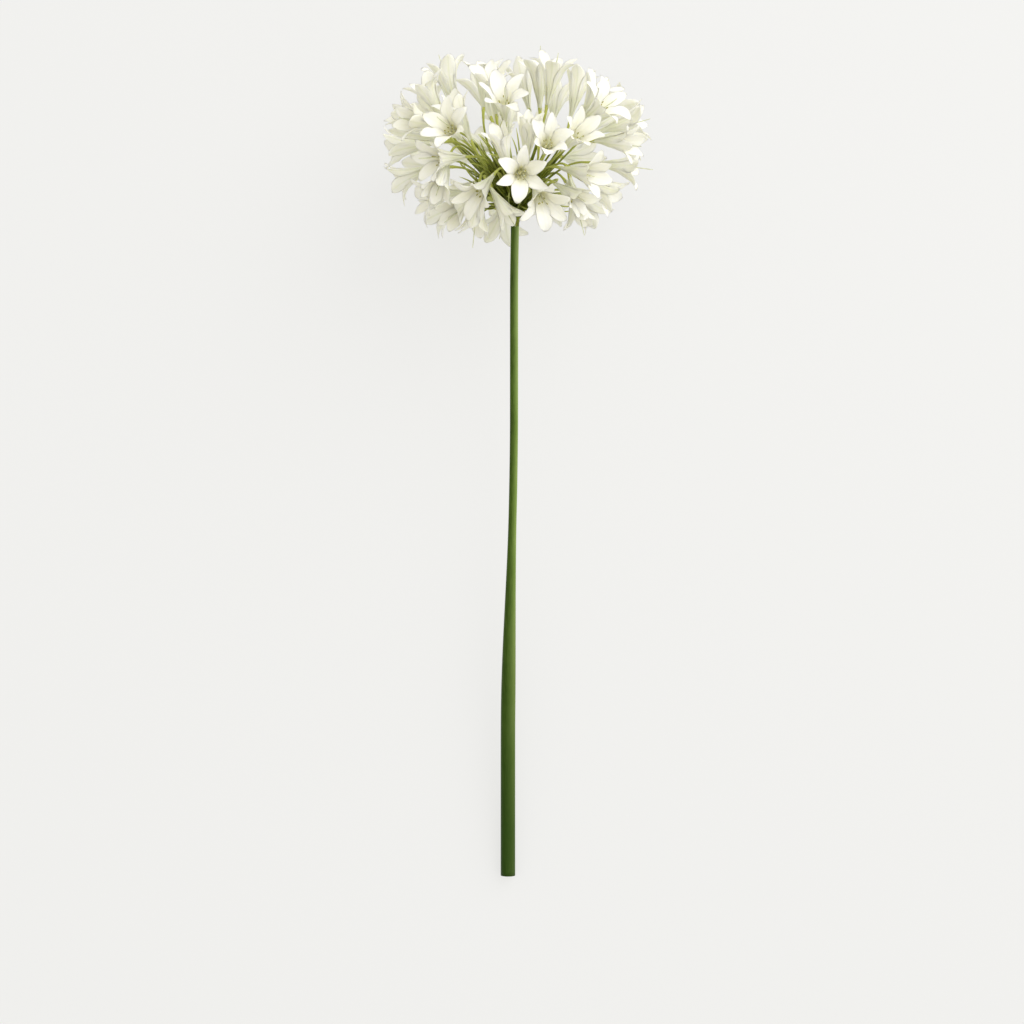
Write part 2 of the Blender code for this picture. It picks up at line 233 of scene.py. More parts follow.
def fibres(tree, vector, contrast):
    node = tree.nodes.new("ShaderNodeGroup")
    node.node_tree = FIBRES
    tree.links.new(vector, node.inputs["Vector"])
    node.inputs["Contrast"].default_value = contrast
    return Field(node.outputs["Mask"])


def stretched(tree, across, along):
    """Object coordinates for a piece that runs along Y: shares of a metre across and along."""
    place = tree.nodes.new("ShaderNodeTexCoord")
    mapping = tree.nodes.new("ShaderNodeMapping")
    mapping.inputs["Rotation"].default_value = (-TILT, 0, 0)
    mapping.inputs["Scale"].default_value = (1 / across, 1 / along, 1 / across)
    tree.links.new(place.outputs["Object"], mapping.inputs["Vector"])
    return mapping.outputs["Vector"]


def new_finish(name, roughness, subsurface=0.0, depth=1 * MM, radius=(1.0, 1.0, 1.0)):
    """A material and its shader, for a section to give its colour and its bump."""
    finish = bpy.data.materials.new(name)
    finish.use_nodes = True
    shader = finish.node_tree.nodes["Principled BSDF"]
    shader.inputs["Roughness"].default_value = roughness
    shader.inputs["Subsurface Weight"].default_value = subsurface
    shader.inputs["Subsurface Radius"].default_value = radius
    shader.inputs["Subsurface Scale"].default_value = depth
    return finish, finish.node_tree, shader


def bump(tree, shader, height, distance, strength=1.0):
    node = tree.nodes.new("ShaderNodeBump")
    node.inputs["Distance"].default_value = distance
    node.inputs["Strength"].default_value = strength
    tree.links.new(height.socket, node.inputs["Height"])
    tree.links.new(node.outputs["Normal"], shader.inputs["Normal"])


def scape_finish():
    """Deep green, with painted light: the side turned to the right is painted lit and the other side
    shaded, the lit side lighter still under the head, and the foot painted dark as shade.
    """
    finish, tree, shader = new_finish("stem_green", 0.46, 0.08, 2 * MM, (0.6, 1.0, 0.3))
    shader.inputs["Specular IOR Level"].default_value = 0.1
    lines = fibres(tree, stretched(tree, 0.9 * MM, 60 * MM), 2.2)
    patches = fibres(tree, stretched(tree, 9 * MM, 45 * MM), 2.6)
    from_hub = shader_attribute(tree, "from_hub")
    # Painted light: the lit side is painted lighter still just under the head.
    painted_light_near_head = (from_hub * -3.3 + 1.1).limited() * 0.85
    # Painted shade: the stem's foot is painted dark, as if shaded.
    near_foot = (from_hub * 2.2 - 1.05).limited() * 0.83
    # Painted light and shade: the side turned to the right is painted lit and the other side painted
    # shaded.
    painted_lit_side = (shader_attribute(tree, "turned") * 1.25 - 0.16).limited() ** 1.3
    shaded = mixed(tree, patches, (0.020, 0.047, 0.001), (0.040, 0.084, 0.004))
    lit = mixed(tree, patches, (0.188, 0.290, 0.050), (0.275, 0.365, 0.105))
    lit = mixed(tree, painted_light_near_head, lit, (0.380, 0.490, 0.180))
    green = mixed(tree, painted_lit_side, shaded, lit)
    green = mixed(tree, lines * 0.22, green, (0.190, 0.270, 0.050))
    green = mixed(tree, near_foot, green, (0.018, 0.048, 0.003))
    cut = shader_attribute(tree, "cut")
    pith = mixed(tree, lines, (0.46, 0.52, 0.27), (0.60, 0.63, 0.38))
    tree.links.new(mixed(tree, cut, green, pith), shader.inputs["Base Color"])
    bump(tree, shader, lines * 0.6 + patches * 0.4, 0.25 * MM, 0.6)
    return finish


scape = make_scape()
scape.data.materials.append(scape_finish())
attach(scape, "root")
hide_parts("scape")


# Where each flower stands. The solid of a floret has the same six lobes all round, so its axis,
# foot and first lobe can be told from its corners; a bud's solid is turned, and longest by far.
TUBE_LENGTH = 16 * MM
TUBE_FOOT_RADIUS = 1.3 * MM
TUBE_MOUTH_RADIUS = 4.6 * MM
LOBE_LENGTH = 29 * MM
LOBE_START = math.radians(9)  # how far a lobe leans out where it leaves the tube
SOLID_LOBE_THICKNESS = 1.1 * MM
BUD_LENGTH = 25 * MM
LOBES = 6
OPENINGS = np.radians(np.linspace(12, 80, 1361))  # those tried, each a twentieth of a degree on
END_DEPTH = 0.05 * MM  # corners this near a solid's end belong to it


def lobe_bend(opening, size, share):
    """Radius, height and lean of a lobe's middle line, this share of the way to its tip."""
    length = LOBE_LENGTH * size
    rate = (opening - LOBE_START) / length
    lean = LOBE_START + rate * share * length
    radius = TUBE_MOUTH_RADIUS * size + (np.cos(LOBE_START) - np.cos(lean)) / rate
    height = TUBE_LENGTH * size + (np.sin(lean) - np.sin(LOBE_START)) / rate
    return radius, height, lean


class Flower:
    """A flower's place in the frame: foot, facing, the side that its first lobe is on, and size."""

    def __init__(self, node):
        self.node = node
        corners = np.array([corner.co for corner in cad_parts[node].data.vertices])
        corners = np.unique(corners.round(6), axis=0)
        middle = corners.mean(axis=0)
        away = corners - middle
        self.facing = self.axis_of(away)
        heights = away @ self.facing
        if self.end_radius(away, heights, -1) > self.end_radius(away, heights, 1):
            self.facing = -self.facing
        if node.startswith("bud"):
            self.facing = -self.facing
        heights = away @ self.facing
        self.foot = Vector(middle + self.facing * heights.min())
        tip = away[heights.argmax()]
        tip_radius = self.end_radius(away, heights, 1)
        side = tip - self.facing * (tip @ self.facing)
        if node.startswith("bud"):
            self.size = (heights.max() - heights.min()) / BUD_LENGTH
            side = np.cross(self.facing, SIDEWAYS)
        else:
            self.size = self.end_radius(away, heights, -1) / TUBE_FOOT_RADIUS
            self.opening = self.opening_of(tip_radius)
        self.side = Vector(side).normalized()
        self.facing = Vector(self.facing)
        self.up = self.facing.cross(self.side)

    @staticmethod
    def axis_of(away):
        """The one direction that a six-fold shape's spread singles out."""
        best = None
        for power in (0, 2, 4):
            weight = np.linalg.norm(away, axis=1) ** power
            spread, ways = np.linalg.eigh((away * weight[:, None]).T @ away)
            low, high = spread[1] - spread[0], spread[2] - spread[1]
            clear = max(low, high) / spread[2]
            if best is None or clear > best[0]:
                best = clear, ways[:, 0 if low > high else 2]
        return best[1]

    def end_radius(self, away, heights, end):
        """How far the corners at the lower (-1) or the upper (1) end are from the axis."""
        level = heights.max() if end > 0 else heights.min()
        ring = away[np.abs(heights - level) < END_DEPTH]
        across = ring - np.outer(ring @ self.facing, self.facing)
        return np.linalg.norm(across, axis=1).mean()

    def opening_of(self, tip_radius):
        radius, _, lean = lobe_bend(OPENINGS, self.size, 1.0)
        return float(np.interp(tip_radius, radius - np.cos(lean) * SOLID_LOBE_THICKNESS, OPENINGS))


florets = [Flower(node) for node in sorted(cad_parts) if node.startswith("floret")]
buds = [Flower(node) for node in sorted(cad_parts) if node.startswith("bud")]


# The receptacle and the stalks. The stem's top swells into a small cushion, and a thin arched
# green stalk grows from it to each flower, yellower and a little thicker where the flower sits.
# Thread-like bracts stand among the stalks, and a dry rim is left of the young head's sheath.
RECEPTACLE = [(-14.0, 3.25), (-12.0, 3.3), (-9.0, 3.9), (-6.5, 5.0), (-5.0, 6.2), (-3.9, 6.9),
              (-2.2, 6.5), (-0.4, 5.8), (1.6, 4.4), (3.2, 2.4), (3.9, 0.2)]  # (along, radius) in mm
RECEPTACLE_SIDES = 40
RECEPTACLE_TONE = 0.4  # coloured as a stalk is this share of the way along
KNOBS = 9  # round it, where the stalks grow out
KNOB_HEIGHT = 0.05
RIM = [(-5.4, 5.9), (-4.6, 6.9), (-3.4, 7.7), (-2.1, 8.2)]  # (along, radius) in mm
RIM_THICKNESS = 0.25 * MM
STALK_POINTS = 13
STALK_ROOT = 2 * MM  # the stalks start round a point this far below the hub
STALK_START = 3.5 * MM  # and this far from it
STALK_UPTURN = 0.45
STALK_STRAIGHT = 4.3 * MM
STALK_HANDLES = (0.38, 0.34)  # how far the ways at its root and at its end carry, of its reach
SWINGS = [(0.0, 0.0)] + [(swing, math.radians(side)) for swing in (0.25, 0.5, 0.8)
                         for side in range(0, 360, 60)]  # how far aside a stalk sets out
STALK_SIDES = 8
SOLID_STALK_RADIUS = 0.85 * MM
STALK_RADII = (1.05 * MM, 0.8 * MM, 1.7 * MM)  # at its root, along it, and round the tube's foot
STALK_CLASP = 1.9 * MM  # how far up the tube its end reaches
LOWEST_WAY = -0.1  # young buds and bracts stand up to a little below the hub
YOUNG_BUDS = 20
YOUNG_REACH = 33 * MM
YOUNG_SOLID = 0.6 * MM  # a young bud that the solids have too has its tip this near them
BRACTS = 110
BRACT_RADII = (0.75 * MM, 0.6 * MM, 0.12 * MM)
BRACT_REACH = (22 * MM, 54 * MM)
BRACT_BEND = 0.5
BRACT_SWING = (0.1, 0.7)
TUFT_BRACTS = 60  # more of them, close together on the side that faces the eye
TUFT_WAY = Vector((-0.33, 0.80, 0.50))  # sideways, along and to the eye
TUFT_SPREAD = 0.19
TUFT_REACH = (44 * MM, 74 * MM)
TUFT_BEND = 0.9
TUFT_SWING = (0.0, 0.5)
GOLDEN_ANGLE = math.pi * (3 - math.sqrt(5))
YOUNG_BUD = [(0.0, 0.85), (1.5, 1.15), (3.0, 1.7), (5.0, 2.05), (7.0, 2.15), (9.0, 1.85),
             (10.5, 1.4), (11.8, 0.75), (12.5, 0.1)]  # (height, radius) in mm


def make_receptacle():
    points = []
    for row, (along, radius) in enumerate(RECEPTACLE):
        knob = KNOB_HEIGHT * smooth_between(along, (-7, -3))
        for turn, out in ways_out(RECEPTACLE_SIDES):
            reach = radius * MM * (1 + knob * math.sin(KNOBS * turn + 1.7 * row))
            points.append(umbel_place(0, along * MM, 0) + out * reach)
    faces = ring_faces(len(RECEPTACLE), RECEPTACLE_SIDES) + end_caps(len(points), RECEPTACLE_SIDES)
    return mesh_piece("receptacle", points, faces, {"along": [RECEPTACLE_TONE] * len(points)})


def make_rim():
    """The torn dry edge that the sheath of the young head leaves round the receptacle."""
    sides = 2 * RECEPTACLE_SIDES
    points = []
    for skin in (0, 1):
        for row, (along, radius) in enumerate(RIM if skin == 0 else reversed(RIM)):
            edge = abs(skin - row / (len(RIM) - 1))
            for turn, out in ways_out(sides):
                torn = edge * (0.5 * math.sin(5 * turn) + 0.35 * math.sin(11 * turn + 1)
                               + 0.2 * math.sin(23 * turn + 2))
                reach = (radius + 0.25 * math.sin(7 * turn + 4 * edge)) * MM - skin * RIM_THICKNESS
                points.append(umbel_place(0, (along + torn) * MM, 0) + out * reach)
    faces = ring_faces(2 * len(RIM), sides)
    last = (2 * len(RIM) - 1) * sides
    faces += [(last + i, last + (i + 1) % sides, (i + 1) % sides, i) for i in range(sides)]
    return mesh_piece("sheath_rim", points, faces)


def rim_finish():
    finish, tree, shader = new_finish("dry_sheath", 0.7, 0.2, 1 * MM, (1.0, 0.8, 0.5))
    lines = fibres(tree, stretched(tree, 0.5 * MM, 5 * MM), 2.6)
    tree.links.new(mixed(tree, lines, (0.22, 0.21, 0.07), (0.50, 0.47, 0.22)),
                   shader.inputs["Base Color"])
    bump(tree, shader, lines, 0.15 * MM, 0.7)
    return finish


def arch(end, facing, swing=0.0, side=0.0):
    """An arched stalk's middle line, from inside the receptacle to its end."""
    outwards = (end - HUB).normalized()
    aside = Matrix.Rotation(side, 3, outwards) @ outwards.orthogonal().normalized()
    start_way = outwards + ALONG * STALK_UPTURN * (1 - outwards.dot(ALONG)) + aside * swing
    start_way.normalize()
    start = HUB - ALONG * STALK_ROOT + start_way * STALK_START
    first, last = [share * (end - start).length for share in STALK_HANDLES]
    handles = [start, start + start_way * first, end - facing * last, end]
    points = []
    for i in range(STALK_POINTS):
        t = i / (STALK_POINTS - 1)
        shares = ((1 - t) ** 3, 3 * t * (1 - t) ** 2, 3 * t * t * (1 - t), t ** 3)
        points.append(sum((share * spot for share, spot in zip(shares, handles)), Vector()))
    return points


def from_solid(point):
    """How far a point is from the nearest corner of the stalks' solid."""
    return float(np.linalg.norm(umbel_corners - np.array(point), axis=1).min())


def stalk_points(flower):
    """The arch that the solid has here: its corners stand one radius from the right line."""
    end = flower.foot - flower.facing * STALK_STRAIGHT
    arches = [arch(end, flower.facing, swing, side) for swing, side in SWINGS]
    middle = STALK_POINTS // 2
    points = min(arches, key=lambda line: sum(abs(from_solid(line[i]) - SOLID_STALK_RADIUS)
                                              for i in (middle, middle + middle // 2)))
    return points + [flower.foot, flower.foot + flower.facing * STALK_CLASP]


def umbel_way(number, count):
    """One of count ways out from the hub: they go round the umbel by the golden angle."""
    height = 1 - (1 - LOWEST_WAY) * (number + 0.5) / count
    turn = number * GOLDEN_ANGLE
    level = math.sqrt(1 - height * height)
    return umbel_place(level * math.cos(turn), height, level * math.sin(turn)) - HUB


def young_bud(number):
    """Foot and facing of a young bud."""
    facing = umbel_way(number, YOUNG_BUDS)
    reach = YOUNG_REACH * (1 - 0.35 * (number * GOLDEN_ANGLE % 1))
    return HUB + facing * reach, facing


def tuft_way(draw):
    aside = Vector([draw.gauss(0, TUFT_SPREAD) for _ in range(3)])
    return (umbel_place(*(TUFT_WAY + aside)) - HUB).normalized()


def bract_line(draw, facing, reach, bend, swing):
    """A bract's middle line: it sets out aside and comes back to its own way."""
    end = HUB + facing * draw.uniform(*reach)
    bent = (facing + facing.orthogonal() * draw.uniform(-bend, bend)).normalized()
    return arch(end, bent, draw.uniform(*swing), draw.uniform(0, 2 * math.pi))


def curve_piece(name, lines):
    """A curve object of one open line through each list of points."""
    curve = bpy.data.curves.new(name, "CURVE")
    curve.dimensions = "3D"
    for line in lines:
        spline = curve.splines.new("POLY")
        spline.points.add(len(line) - 1)
        spline.points.foreach_set("co", [c for point in line for c in (*point, 1.0)])
    piece = bpy.data.objects.new(name, curve)
    bpy.context.scene.collection.objects.link(piece)
    return piece


class Shaping:
    """A Geometry Nodes tree with named inputs, and its use on an object as a modifier."""

    def __init__(self, name, sizes):
        self.tree = bpy.data.node_groups.new(name, "GeometryNodeTree")
        face = self.tree.interface
        face.new_socket("Geometry", in_out="OUTPUT", socket_type="NodeSocketGeometry")
        face.new_socket("Geometry", in_out="INPUT", socket_type="NodeSocketGeometry")
        for size, kind in sizes.items():
            face.new_socket(size, in_out="INPUT", socket_type="NodeSocket" + kind)
        self.inputs = self.tree.nodes.new("NodeGroupInput")
        self.outputs = self.tree.nodes.new("NodeGroupOutput")

    def size(self, name):
        return Field(self.inputs.outputs[name])

    def add(self, kind, links=None, **settings):
        """A node of the tree: links gives its inputs as Fields, sockets or values."""
        node = self.tree.nodes.new(kind)
        for name, value in settings.items():
            setattr(node, name, value)
        for name, value in (links or {}).items():
            place = node.inputs[name]
            if isinstance(value, Field):
                value = value.socket
            if isinstance(value, bpy.types.NodeSocket):
                self.tree.links.new(value, place)
            else:
                place.default_value = value
        return node

    def attribute(self, name, kind="FLOAT"):
        node = self.add("GeometryNodeInputNamedAttribute", {"Name": name}, data_type=kind)
        return Field(node.outputs["Attribute"])

    def finish(self, geometry):
        """Ends the tree: real faces, shaded smooth, in the material that the inputs name."""
        real = self.add("GeometryNodeRealizeInstances", {"Geometry": geometry})
        soft = self.add("GeometryNodeSetShadeSmooth", {"Geometry": real.outputs[0]})
        painted = self.add("GeometryNodeSetMaterial",
                           {"Geometry": soft.outputs[0],
                            "Material": self.inputs.outputs["Material"]})
        self.tree.links.new(painted.outputs[0], self.outputs.inputs[0])

    def shape(self, piece, **values):
        """Turns the object into the plain mesh that the tree makes of it with these inputs."""
        modifier = piece.modifiers.new("Shape", "NODES")
        modifier.node_group = self.tree
        for socket in self.tree.interface.items_tree:
            key = socket.name.lower().replace(" ", "_")
            if socket.in_out == "INPUT" and key in values:
                modifier[socket.identifier] = values[key]
        piece.update_tag()
        bpy.context.view_layer.update()
        graph = bpy.context.evaluated_depsgraph_get()
        mesh = bpy.data.meshes.new_from_object(piece.evaluated_get(graph))
        name = piece.name
        bpy.data.objects.remove(piece)
        mesh.name = name
        made = bpy.data.objects.new(name, mesh)
        bpy.context.scene.collection.objects.link(made)
        return made


def thread_shaping():
    """Round threads along curves, thin in the middle, thicker at the root and the end."""
    tree = Shaping("round_threads", {"Root": "Float", "Middle": "Float", "End": "Float",
                                     "Stations": "Int", "Sides": "Int", "Material": "Material"})
    lines = tree.add("GeometryNodeResampleCurve", {"Curve": tree.inputs.outputs["Geometry"],
                                                   "Count": tree.size("Stations")})
    along = Field(tree.add("GeometryNodeSplineParameter").outputs["Factor"])
    kept = tree.add("GeometryNodeStoreNamedAttribute",
                    {"Geometry": lines.outputs[0], "Name": "along", "Value": along})
    middle = tree.size("Middle")
    root = (tree.size("Root") - middle) * (along * -1.0 + 1.0) ** 9.0
    end = (tree.size("End") - middle) * along ** 14.0
    thick = tree.add("GeometryNodeSetCurveRadius",
                     {"Curve": kept.outputs[0], "Radius": middle + root + end})
    round_line = tree.add("GeometryNodeCurvePrimitiveCircle",
                          {"Resolution": tree.size("Sides"), "Radius": 1.0})
    radius = tree.add("GeometryNodeInputRadius")
    tubes = tree.add("GeometryNodeCurveToMesh",
                     {"Curve": thick.outputs[0], "Profile Curve": round_line.outputs[0],
                      "Scale": radius.outputs[0], "Fill Caps": True})
    tree.finish(tubes.outputs[0])
    return tree


def stalk_finish():
    finish, tree, shader = new_finish("stalk_green", 0.42, 0.12, 1.5 * MM, (0.6, 1.0, 0.3))
    shader.inputs["Specular IOR Level"].default_value = 0.2
    along = shader_attribute(tree, "along")
    # Painted shade: the stalks and bracts are painted darker towards their roots, in the middle of
    # the head, where shade falls.
    painted_root_shade = (along * -2.4 + 1.0).limited() * 0.75
    near_end = (along * 2.4 - 1.4).limited()
    patches = fibres(tree, stretched(tree, 3 * MM, 3 * MM), 2.4)
    green = mixed(tree, patches, (0.050, 0.068, 0.002), (0.240, 0.270, 0.022))
    green = mixed(tree, painted_root_shade, green, (0.024, 0.042, 0.001))
    green = mixed(tree, near_end, green, (0.560, 0.590, 0.150))
    tree.links.new(green, shader.inputs["Base Color"])
    bump(tree, shader, patches, 0.12 * MM, 0.5)
    return finish


THREADS = thread_shaping()
STALK_GREEN = stalk_finish()
receptacle = make_receptacle()
receptacle.data.materials.append(STALK_GREEN)
umbel_corners = np.array([corner.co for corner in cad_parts["umbel_stalks"].data.vertices])
young = [young_bud(number) for number in range(YOUNG_BUDS)]
young = [(foot, facing) for foot, facing in young
         if from_solid(foot + facing * YOUNG_BUD[-1][0] * MM) < YOUNG_SOLID]
lines = [stalk_points(flower) for flower in florets + buds]
lines += [arch(foot, facing) for foot, facing in young]
stalks = curve_piece("flower_stalks", lines)
stalks = THREADS.shape(stalks, root=STALK_RADII[0], middle=STALK_RADII[1], end=STALK_RADII[2],
                       stations=26, sides=STALK_SIDES, material=STALK_GREEN)
bract_draw = random.Random(3)
bract_lines = [bract_line(bract_draw, umbel_way(number, BRACTS), BRACT_REACH, BRACT_BEND,
                          BRACT_SWING) for number in range(BRACTS)]
bract_lines += [bract_line(bract_draw, tuft_way(bract_draw), TUFT_REACH, TUFT_BEND, TUFT_SWING)
                for _ in range(TUFT_BRACTS)]
bracts = curve_piece("thread_bracts", bract_lines)
bracts = THREADS.shape(bracts, root=BRACT_RADII[0], middle=BRACT_RADII[1], end=BRACT_RADII[2],
                       stations=14, sides=6, material=STALK_GREEN)
rim = make_rim()
rim.data.materials.append(rim_finish())
for piece in (receptacle, stalks, bracts, rim):
    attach(piece, "root")
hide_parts("umbel_stalks")


# The florets. Each is a funnel of six thin white tepals, joined below as a tube and free above as
# round-ended lobes, three outer and three inner ones. One flat tepal is shaped by a rule, 6 times.
TEPAL_ROWS = 24
TEPAL_COLUMNS = 10
TEPAL_THICKNESS = 0.55 * MM
TEPAL_HOLLOW = 0.25
WHORL_GAP = 0.7 * MM  # the inner three tepals lie this much further in
TEPAL_LAP = 1.3  # how wide a tepal may be in its sixth of the funnel
TUBE_RADII = [(0.0, 1.3), (0.25, 1.75), (0.5, 2.45), (0.75, 3.4), (1.0, 4.6)]  # (share, mm)
TUBE_HALF = 0.54  # half a tepal's width in the tube, as a share of the tube's radius
LOBE_HALVES = [(0.0, 2.5), (0.14, 3.6), (0.3, 4.9), (0.5, 6.0), (0.67, 6.3), (0.8, 5.9),
               (0.9, 5.0), (0.96, 4.1), (1.0, 3.0)]  # (share of the lobe, half its width in mm)
TIP_ROUND = 0.1  # how far the tip's middle stands out past its corners, as a share of the lobe
PRESSED = 1.2 * MM  # tips that reach the surface are pressed flat from about this height down
FLORETS_A_PIECE = 13


def make_blank():
    """One flat tepal with its places and widths as numbers: a lens of two skins, shut all round."""
    numbers = {key: [] for key in ("share", "rise", "radius", "half", "across", "skin", "along")}
    tube_rows = TEPAL_ROWS // 4

    def put(row, column, skin):
        across = 2 * column / TEPAL_COLUMNS - 1
        edge = 1 - abs(across) ** 2.5
        tube_share = min(row / tube_rows, 1.0)
        lobe_share = max(row - tube_rows, 0) / (TEPAL_ROWS - tube_rows)
        tube_radius = np.interp(tube_share, *zip(*TUBE_RADII)) * MM
        half = np.interp(lobe_share, *zip(*LOBE_HALVES)) * MM
        recess = TIP_ROUND * lobe_share ** 3 * (1 - math.sqrt(1 - 0.96 * across * across))
        rib = 0.35 * math.exp(-(across / 0.16) ** 2)
        numbers["share"].append(lobe_share - recess)
        numbers["rise"].append(tube_share * TUBE_LENGTH)
        numbers["radius"].append(tube_radius)
        numbers["half"].append(half if lobe_share else tube_radius * TUBE_HALF)
        numbers["across"].append(across)
        numbers["skin"].append(skin * (edge ** 0.5 * (1 - lobe_share ** 8) + rib * edge))
        numbers["along"].append(row / TEPAL_ROWS)
        return len(numbers["share"]) - 1

    outer = [[put(row, column, -1) for column in range(TEPAL_COLUMNS + 1)]
             for row in range(TEPAL_ROWS + 1)]
    inner = [list(row) for row in outer]
    for row in range(1, TEPAL_ROWS):
        for column in range(1, TEPAL_COLUMNS):
            inner[row][column] = put(row, column, 1)
    faces = []
    for row in range(TEPAL_ROWS):
        for column in range(TEPAL_COLUMNS):
            for skin, turn in ((outer, 1), (inner, -1)):
                quad = (skin[row][column], skin[row][column + 1],
                        skin[row + 1][column + 1], skin[row + 1][column])
                faces.append(quad[::turn])
    points = np.zeros((len(numbers["share"]), 3))
    return mesh_piece("tepal_blank", points, faces, numbers)


def tepal_shaping():
    """Sets a tepal at each point and bends it by the floret's numbers and by its own."""
    tree = Shaping("tepals", {"Blank": "Object", "Thickness": "Float", "Hollow": "Float",
                              "Material": "Material"})
    blank = tree.add("GeometryNodeObjectInfo", {"Object": tree.inputs.outputs["Blank"]})
    copies = tree.add("GeometryNodeInstanceOnPoints",
                      {"Points": tree.inputs.outputs["Geometry"],
                       "Instance": blank.outputs["Geometry"]})
    real = tree.add("GeometryNodeRealizeInstances", {"Geometry": copies.outputs[0]})
    number = {key: tree.attribute(key) for key in
              ("share", "rise", "radius", "half", "across", "skin", "opening", "size", "inset",
               "curl", "twist", "sway", "wave", "phase", "broad", "taper")}
    share, size, across = number["share"], number["size"], number["across"]
    length = size * LOBE_LENGTH
    rate = (number["opening"] - LOBE_START) / length
    lean = (number["opening"] - LOBE_START) * share + LOBE_START
    radius = number["radius"] * size + (lean.math("COSINE") * -1.0 + math.cos(LOBE_START)) / rate
    height = number["rise"] * size + (lean.math("SINE") - math.sin(LOBE_START)) / rate
    room = radius * math.tan(math.pi / LOBES) * TEPAL_LAP
    half = (number["half"] * size * number["broad"]).math("MINIMUM", room)
    half = half * (number["taper"] * share ** 3.0 * -1.0 + 1.0)
    ripple = (share * 9.0 + number["phase"]).math("SINE") * number["wave"] * share
    ripple_side = across.math("SIGN") * (across * across)
    inwards = half * across * across * tree.size("Hollow") + number["inset"]
    inwards = inwards + ripple * ripple_side * length
    inwards = inwards - number["curl"] * (share - 0.45).limited() ** 2.0 * length
    inwards = inwards + number["skin"] * tree.size("Thickness") * 0.5
    sideways = half * across
    turn = number["twist"] * share * share
    twisted = sideways * turn.math("COSINE") - inwards * turn.math("SINE")
    inwards = sideways * turn.math("SINE") + inwards * turn.math("COSINE")
    sideways = twisted + number["sway"] * share * share * length
    outwards = radius - inwards * lean.math("COSINE")
    upwards = height + inwards * lean.math("SINE")
    place = tree.attribute("foot", "FLOAT_VECTOR")
    for way, reach in (("radial", outwards), ("tangent", sideways), ("facing", upwards)):
        way = tree.attribute(way, "FLOAT_VECTOR")
        step = tree.add("ShaderNodeVectorMath", {0: way, "Scale": reach}, operation="SCALE")
        total = tree.add("ShaderNodeVectorMath", {0: place, 1: step.outputs[0]}, operation="ADD")
        place = total.outputs[0]
    parts = tree.add("ShaderNodeSeparateXYZ", {"Vector": place})
    level = Field(parts.outputs[2])
    level = (level + (level * level + PRESSED * PRESSED) ** 0.5) * 0.5
    place = tree.add("ShaderNodeCombineXYZ", {"X": parts.outputs[0], "Y": parts.outputs[1],
                                              "Z": level}).outputs[0]
    moved = tree.add("GeometryNodeSetPosition", {"Geometry": real.outputs[0], "Position": place})
    tree.finish(moved.outputs[0])
    return tree


def tepal_points(name, flowers, draw):
    """A point for each tepal of these florets, with all the numbers that shape it."""
    rows = []
    for flower in flowers:
        for i in range(LOBES):
            angle = 2 * math.pi * i / LOBES + draw.uniform(-0.05, 0.05)
            outer = i % 2 == 0
            radial = flower.side * math.cos(angle) + flower.up * math.sin(angle)
            rows.append({
                "foot": flower.foot, "facing": flower.facing, "radial": radial,
                "tangent": flower.facing.cross(radial), "size": flower.size,
                "opening": flower.opening + math.radians(draw.uniform(-8, 4)),
                "inset": 0.0 if outer else WHORL_GAP,
                "curl": draw.triangular(-0.3, 1.1, 0.3), "twist": draw.uniform(-0.4, 0.4),
                "sway": draw.uniform(-0.09, 0.09), "wave": draw.uniform(0.01, 0.055),
                "phase": draw.uniform(0, 6.3), "tone": draw.random(),
                "broad": draw.uniform(0.82, 0.96) if outer else draw.uniform(0.94, 1.08),
                "taper": draw.uniform(0.2, 0.6) if outer else draw.uniform(0.0, 0.35),
            })
    numbers = {key: [tuple(row[key]) if isinstance(row[key], Vector) else row[key]
                     for row in rows] for key in rows[0]}
    return mesh_piece(name, [row["foot"] for row in rows], [], numbers)


def petal_finish():
    finish, tree, shader = new_finish("petal_white", 0.5, 0.35, 2.2 * MM, (1.0, 0.95, 0.62))
    share = shader_attribute(tree, "share")
    across = shader_attribute(tree, "across")
    tone = shader_attribute(tree, "tone")
    front = (shader_attribute(tree, "skin") * 40.0 + 0.5).limited()
    spread = tree.nodes.new("ShaderNodeCombineXYZ")
    tree.links.new((across * 9.0).socket, spread.inputs[0])
    tree.links.new((shader_attribute(tree, "along") * 2.2).socket, spread.inputs[1])
    tree.links.new((tone * 40.0).socket, spread.inputs[2])
    veins = fibres(tree, spread.outputs[0], 2.4)
    rib = (across * across * -60.0).math("EXPONENT")
    low = (share * -2.5 + 1.0).limited()
    white = mixed(tree, tone, (0.95, 0.935, 0.805), (0.98, 0.97, 0.895))
    white = mixed(tree, veins * 0.2, white, (0.87, 0.855, 0.68))
    foot = mixed(tree, front, (0.79, 0.80, 0.60), (0.98, 0.955, 0.66))
    colour = mixed(tree, low ** 1.5 * 0.8, white, foot)
    back = front * -1.0 + 1.0
    colour = mixed(tree, rib * (back * 0.35 + 0.12) * (share * -0.7 + 1.0), colour,
                   (0.66, 0.70, 0.42))
    tree.links.new(colour, shader.inputs["Base Color"])
    bump(tree, shader, veins * 0.5 - rib * 0.6, 0.3 * MM, 0.5)
    return finish


PETAL_WHITE = petal_finish()
TEPALS = tepal_shaping()
blank = make_blank()
petal_draw = random.Random(5)
for first in range(0, len(florets), FLORETS_A_PIECE):
    group = florets[first:first + FLORETS_A_PIECE]
    petals = tepal_points(f"petals_{first // FLORETS_A_PIECE + 1}", group, petal_draw)
    petals = TEPALS.shape(petals, blank=blank, thickness=TEPAL_THICKNESS, hollow=TEPAL_HOLLOW,
                          material=PETAL_WHITE)
    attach(petals, "root")
    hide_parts(*[flower.node for flower in group])
bpy.data.objects.remove(blank)


